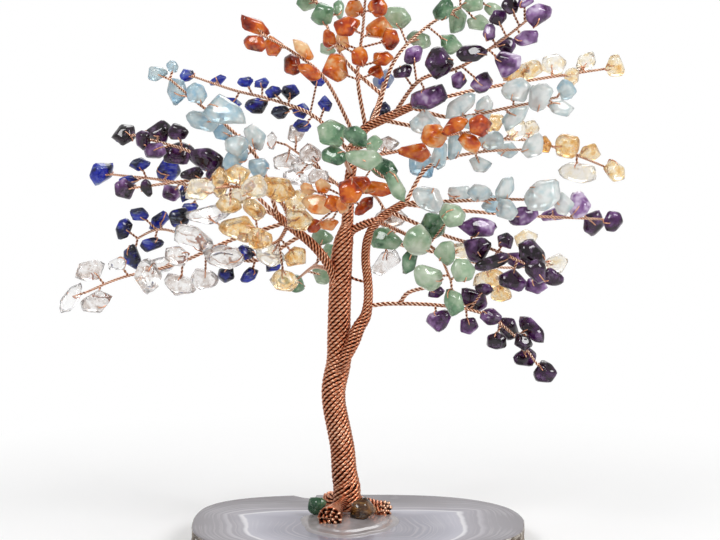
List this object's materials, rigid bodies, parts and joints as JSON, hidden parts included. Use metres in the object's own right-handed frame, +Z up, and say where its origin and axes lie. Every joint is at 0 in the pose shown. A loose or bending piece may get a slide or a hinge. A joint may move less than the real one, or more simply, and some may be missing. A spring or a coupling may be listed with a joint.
{
  "type": "gemstone tree ornament",
  "caption": "Ornamental tree of twisted copper wire: a rope trunk on an agate slice forks into limbs whose bendable wire branches carry polished gemstone chips.",
  "frame": {"origin": "middle of the agate slice's flat underside, where it rests on a table", "axes": "+Z up along the trunk, +X to the right as seen from the front, -Y towards the viewer"},
  "size_m": [0.1714, 0.0989, 0.17],
  "materials": {
    "copper": "twisted copper wire, satin",
    "agate": "polished, banded",
    "resin": "clear, set glossy",
    "amethyst": "tumbled, polished",
    "lapis": "tumbled, polished",
    "aquamarine": "tumbled, polished",
    "citrine": "tumbled, polished",
    "carnelian": "tumbled, polished",
    "aventurine": "tumbled, polished",
    "quartz": "tumbled, polished",
    "tiger_eye": "tumbled, polished"
  },
  "bodies": {
    "base_and_trunk": {"agate_slice": "agate", "glue_pad": "resin", "left_rope": "copper", "right_rope": "copper", "column_rope": "copper", "root_stone_aventurine": "aventurine", "root_stone_tiger_eye": "tiger_eye"},
    "carnelian_upper_left_branch": {"carnelian_upper_left_wire": "copper", "carnelian_upper_left_stones": "carnelian"},
    "carnelian_top_branch": {"carnelian_top_wire": "copper", "carnelian_top_stones": "carnelian"},
    "aventurine_top_branch": {"aventurine_top_wire": "copper", "aventurine_top_stones": "aventurine"},
    "amethyst_upper_right_branch": {"amethyst_upper_right_wire": "copper", "amethyst_upper_right_stones": "amethyst"},
    "citrine_upper_right_branch": {"citrine_upper_right_wire": "copper", "citrine_upper_right_stones": "citrine"},
    "aquamarine_upper_right_branch": {"aquamarine_upper_right_wire": "copper", "aquamarine_upper_right_stones": "aquamarine"},
    "citrine_right_branch": {"citrine_right_wire": "copper", "citrine_right_stones": "citrine"},
    "carnelian_right_branch": {"carnelian_right_wire": "copper", "carnelian_right_stones": "carnelian"},
    "aquamarine_right_branch": {"aquamarine_right_wire": "copper", "aquamarine_right_stones": "aquamarine"},
    "aquamarine_low_right_branch": {"aquamarine_low_right_wire": "copper", "aquamarine_low_right_stones": "aquamarine"},
    "amethyst_right_branch": {"amethyst_right_wire": "copper", "amethyst_right_stones": "amethyst"},
    "aventurine_right_branch": {"aventurine_right_wire": "copper", "aventurine_right_stones": "aventurine"},
    "amethyst_mid_right_branch": {"amethyst_mid_right_wire": "copper", "amethyst_mid_right_stones": "amethyst"},
    "citrine_low_right_branch": {"citrine_low_right_wire": "copper", "citrine_low_right_stones": "citrine"},
    "amethyst_low_right_branch": {"amethyst_low_right_wire": "copper", "amethyst_low_right_stones": "amethyst"},
    "aventurine_centre_branch": {"aventurine_centre_wire": "copper", "aventurine_centre_stones": "aventurine"},
    "carnelian_centre_branch": {"carnelian_centre_wire": "copper", "carnelian_centre_stones": "carnelian"},
    "quartz_back_branch": {"quartz_back_wire": "copper", "quartz_back_stones": "quartz"},
    "aquamarine_left_branch": {"aquamarine_left_wire": "copper", "aquamarine_left_stones": "aquamarine"},
    "lapis_upper_branch": {"lapis_upper_wire": "copper", "lapis_upper_stones": "lapis"},
    "amethyst_left_branch": {"amethyst_left_wire": "copper", "amethyst_left_stones": "amethyst"},
    "lapis_left_branch": {"lapis_left_wire": "copper", "lapis_left_stones": "lapis"},
    "citrine_left_branch": {"citrine_left_wire": "copper", "citrine_left_stones": "citrine"},
    "lapis_low_left_branch": {"lapis_low_left_wire": "copper", "lapis_low_left_stones": "lapis"},
    "quartz_low_left_branch": {"quartz_low_left_wire": "copper", "quartz_low_left_stones": "quartz"},
    "aventurine_low_left_branch": {"aventurine_low_left_wire": "copper", "aventurine_low_left_stones": "aventurine"}
  },
  "joints": [
    {"name": "carnelian_upper_left_bend", "type": "hinge", "parent": "base_and_trunk", "child": "carnelian_upper_left_branch", "pos_m": [-0.00105, 0.01038, 0.12176], "axis": [-0.6719, 0.7407, 0], "range_deg": [-8, 8]},
    {"name": "carnelian_top_bend", "type": "hinge", "parent": "base_and_trunk", "child": "carnelian_top_branch", "pos_m": [0.00171, 0.01153, 0.12668], "axis": [-0.9747, -0.2235, 0], "range_deg": [-8, 8]},
    {"name": "aventurine_top_bend", "type": "hinge", "parent": "base_and_trunk", "child": "aventurine_top_branch", "pos_m": [0.00509, 0.01315, 0.1284], "axis": [0.4453, -0.8954, 0], "range_deg": [-8, 8]},
    {"name": "amethyst_upper_right_bend", "type": "hinge", "parent": "base_and_trunk", "child": "amethyst_upper_right_branch", "pos_m": [0.01097, 0.00983, 0.13019], "axis": [-0.6707, -0.7418, 0], "range_deg": [-8, 8]},
    {"name": "citrine_upper_right_bend", "type": "hinge", "parent": "base_and_trunk", "child": "citrine_upper_right_branch", "pos_m": [0.01832, 0.01213, 0.13182], "axis": [0.1355, -0.9908, 0], "range_deg": [-6, 8]},
    {"name": "aquamarine_upper_right_bend", "type": "hinge", "parent": "base_and_trunk", "child": "aquamarine_upper_right_branch", "pos_m": [0.01756, 0.01092, 0.1292], "axis": [-0.2326, -0.9726, 0], "range_deg": [-3, 7]},
    {"name": "citrine_right_bend", "type": "hinge", "parent": "base_and_trunk", "child": "citrine_right_branch", "pos_m": [0.00918, 0.0136, 0.1257], "axis": [0.4276, -0.904, 0], "range_deg": [-8, 8]},
    {"name": "carnelian_right_bend", "type": "hinge", "parent": "base_and_trunk", "child": "carnelian_right_branch", "pos_m": [0.00097, 0.01028, 0.11563], "axis": [-0.686, -0.7276, 0], "range_deg": [-8, 8]},
    {"name": "aquamarine_right_bend", "type": "hinge", "parent": "base_and_trunk", "child": "aquamarine_right_branch", "pos_m": [0.0152, 0.0101, 0.10353], "axis": [0.1051, -0.9945, 0], "range_deg": [-8, 4]},
    {"name": "aquamarine_low_right_bend", "type": "hinge", "parent": "base_and_trunk", "child": "aquamarine_low_right_branch", "pos_m": [0.01651, 0.00914, 0.10231], "axis": [-0.2764, -0.961, 0], "range_deg": [-3, 8]},
    {"name": "amethyst_right_bend", "type": "hinge", "parent": "base_and_trunk", "child": "amethyst_right_branch", "pos_m": [0.01577, 0.01026, 0.1006], "axis": [0.0638, -0.998, 0], "range_deg": [-8, 6]},
    {"name": "aventurine_right_bend", "type": "hinge", "parent": "base_and_trunk", "child": "aventurine_right_branch", "pos_m": [0.00733, 0.00821, 0.09641], "axis": [-0.9206, -0.3904, 0], "range_deg": [-8, 8]},
    {"name": "amethyst_mid_right_bend", "type": "hinge", "parent": "base_and_trunk", "child": "amethyst_mid_right_branch", "pos_m": [0.01119, 0.00857, 0.09858], "axis": [-0.5655, -0.8247, 0], "range_deg": [-8, 8]},
    {"name": "citrine_low_right_bend", "type": "hinge", "parent": "base_and_trunk", "child": "citrine_low_right_branch", "pos_m": [0.00533, 0.01121, 0.09169], "axis": [0.413, -0.9107, 0], "range_deg": [-8, 8]},
    {"name": "amethyst_low_right_bend", "type": "hinge", "parent": "base_and_trunk", "child": "amethyst_low_right_branch", "pos_m": [0.00565, 0.01029, 0.0715], "axis": [-0.128, -0.9918, 0], "range_deg": [-8, 8]},
    {"name": "aventurine_centre_bend", "type": "hinge", "parent": "base_and_trunk", "child": "aventurine_centre_branch", "pos_m": [-0.00179, 0.00963, 0.11171], "axis": [0, 0, 1], "range_deg": [-7, 8]},
    {"name": "carnelian_centre_bend", "type": "hinge", "parent": "base_and_trunk", "child": "carnelian_centre_branch", "pos_m": [-0.00264, 0.01031, 0.1025], "axis": [0, 0, 1], "range_deg": [-7, 8]},
    {"name": "quartz_back_bend", "type": "hinge", "parent": "base_and_trunk", "child": "quartz_back_branch", "pos_m": [-0.00329, 0.01457, 0.10581], "axis": [0.8591, 0.5118, 0], "range_deg": [-8, 8]},
    {"name": "aquamarine_left_bend", "type": "hinge", "parent": "base_and_trunk", "child": "aquamarine_left_branch", "pos_m": [-0.02256, 0.00678, 0.10075], "axis": [-0.5118, 0.8591, 0], "range_deg": [-5, 8]},
    {"name": "lapis_upper_bend", "type": "hinge", "parent": "base_and_trunk", "child": "lapis_upper_branch", "pos_m": [-0.00267, 0.01331, 0.11697], "axis": [0.4919, 0.8707, 0], "range_deg": [-8, 8]},
    {"name": "amethyst_left_bend", "type": "hinge", "parent": "base_and_trunk", "child": "amethyst_left_branch", "pos_m": [-0.02442, 0.00837, 0.0999], "axis": [0.3457, 0.9383, 0], "range_deg": [-8, 8]},
    {"name": "lapis_left_bend", "type": "hinge", "parent": "base_and_trunk", "child": "lapis_left_branch", "pos_m": [-0.02509, 0.0103, 0.09894], "axis": [0.5799, 0.8147, 0], "range_deg": [-8, 8]},
    {"name": "citrine_left_bend", "type": "hinge", "parent": "base_and_trunk", "child": "citrine_left_branch", "pos_m": [-0.01877, 0.00598, 0.09643], "axis": [-0.791, 0.6118, 0], "range_deg": [-8, 5]},
    {"name": "lapis_low_left_bend", "type": "hinge", "parent": "base_and_trunk", "child": "lapis_low_left_branch", "pos_m": [-0.01793, 0.00925, 0.09138], "axis": [0.3317, 0.9434, 0], "range_deg": [-8, 8]},
    {"name": "quartz_low_left_bend", "type": "hinge", "parent": "base_and_trunk", "child": "quartz_low_left_branch", "pos_m": [-0.02269, 0.00783, 0.09539], "axis": [-0.1537, 0.9881, 0], "range_deg": [-8, 8]},
    {"name": "aventurine_low_left_bend", "type": "hinge", "parent": "base_and_trunk", "child": "aventurine_low_left_branch", "pos_m": [-0.00947, 0.01188, 0.08173], "axis": [0.9713, 0.2378, 0], "range_deg": [-8, 8]}
  ]
}
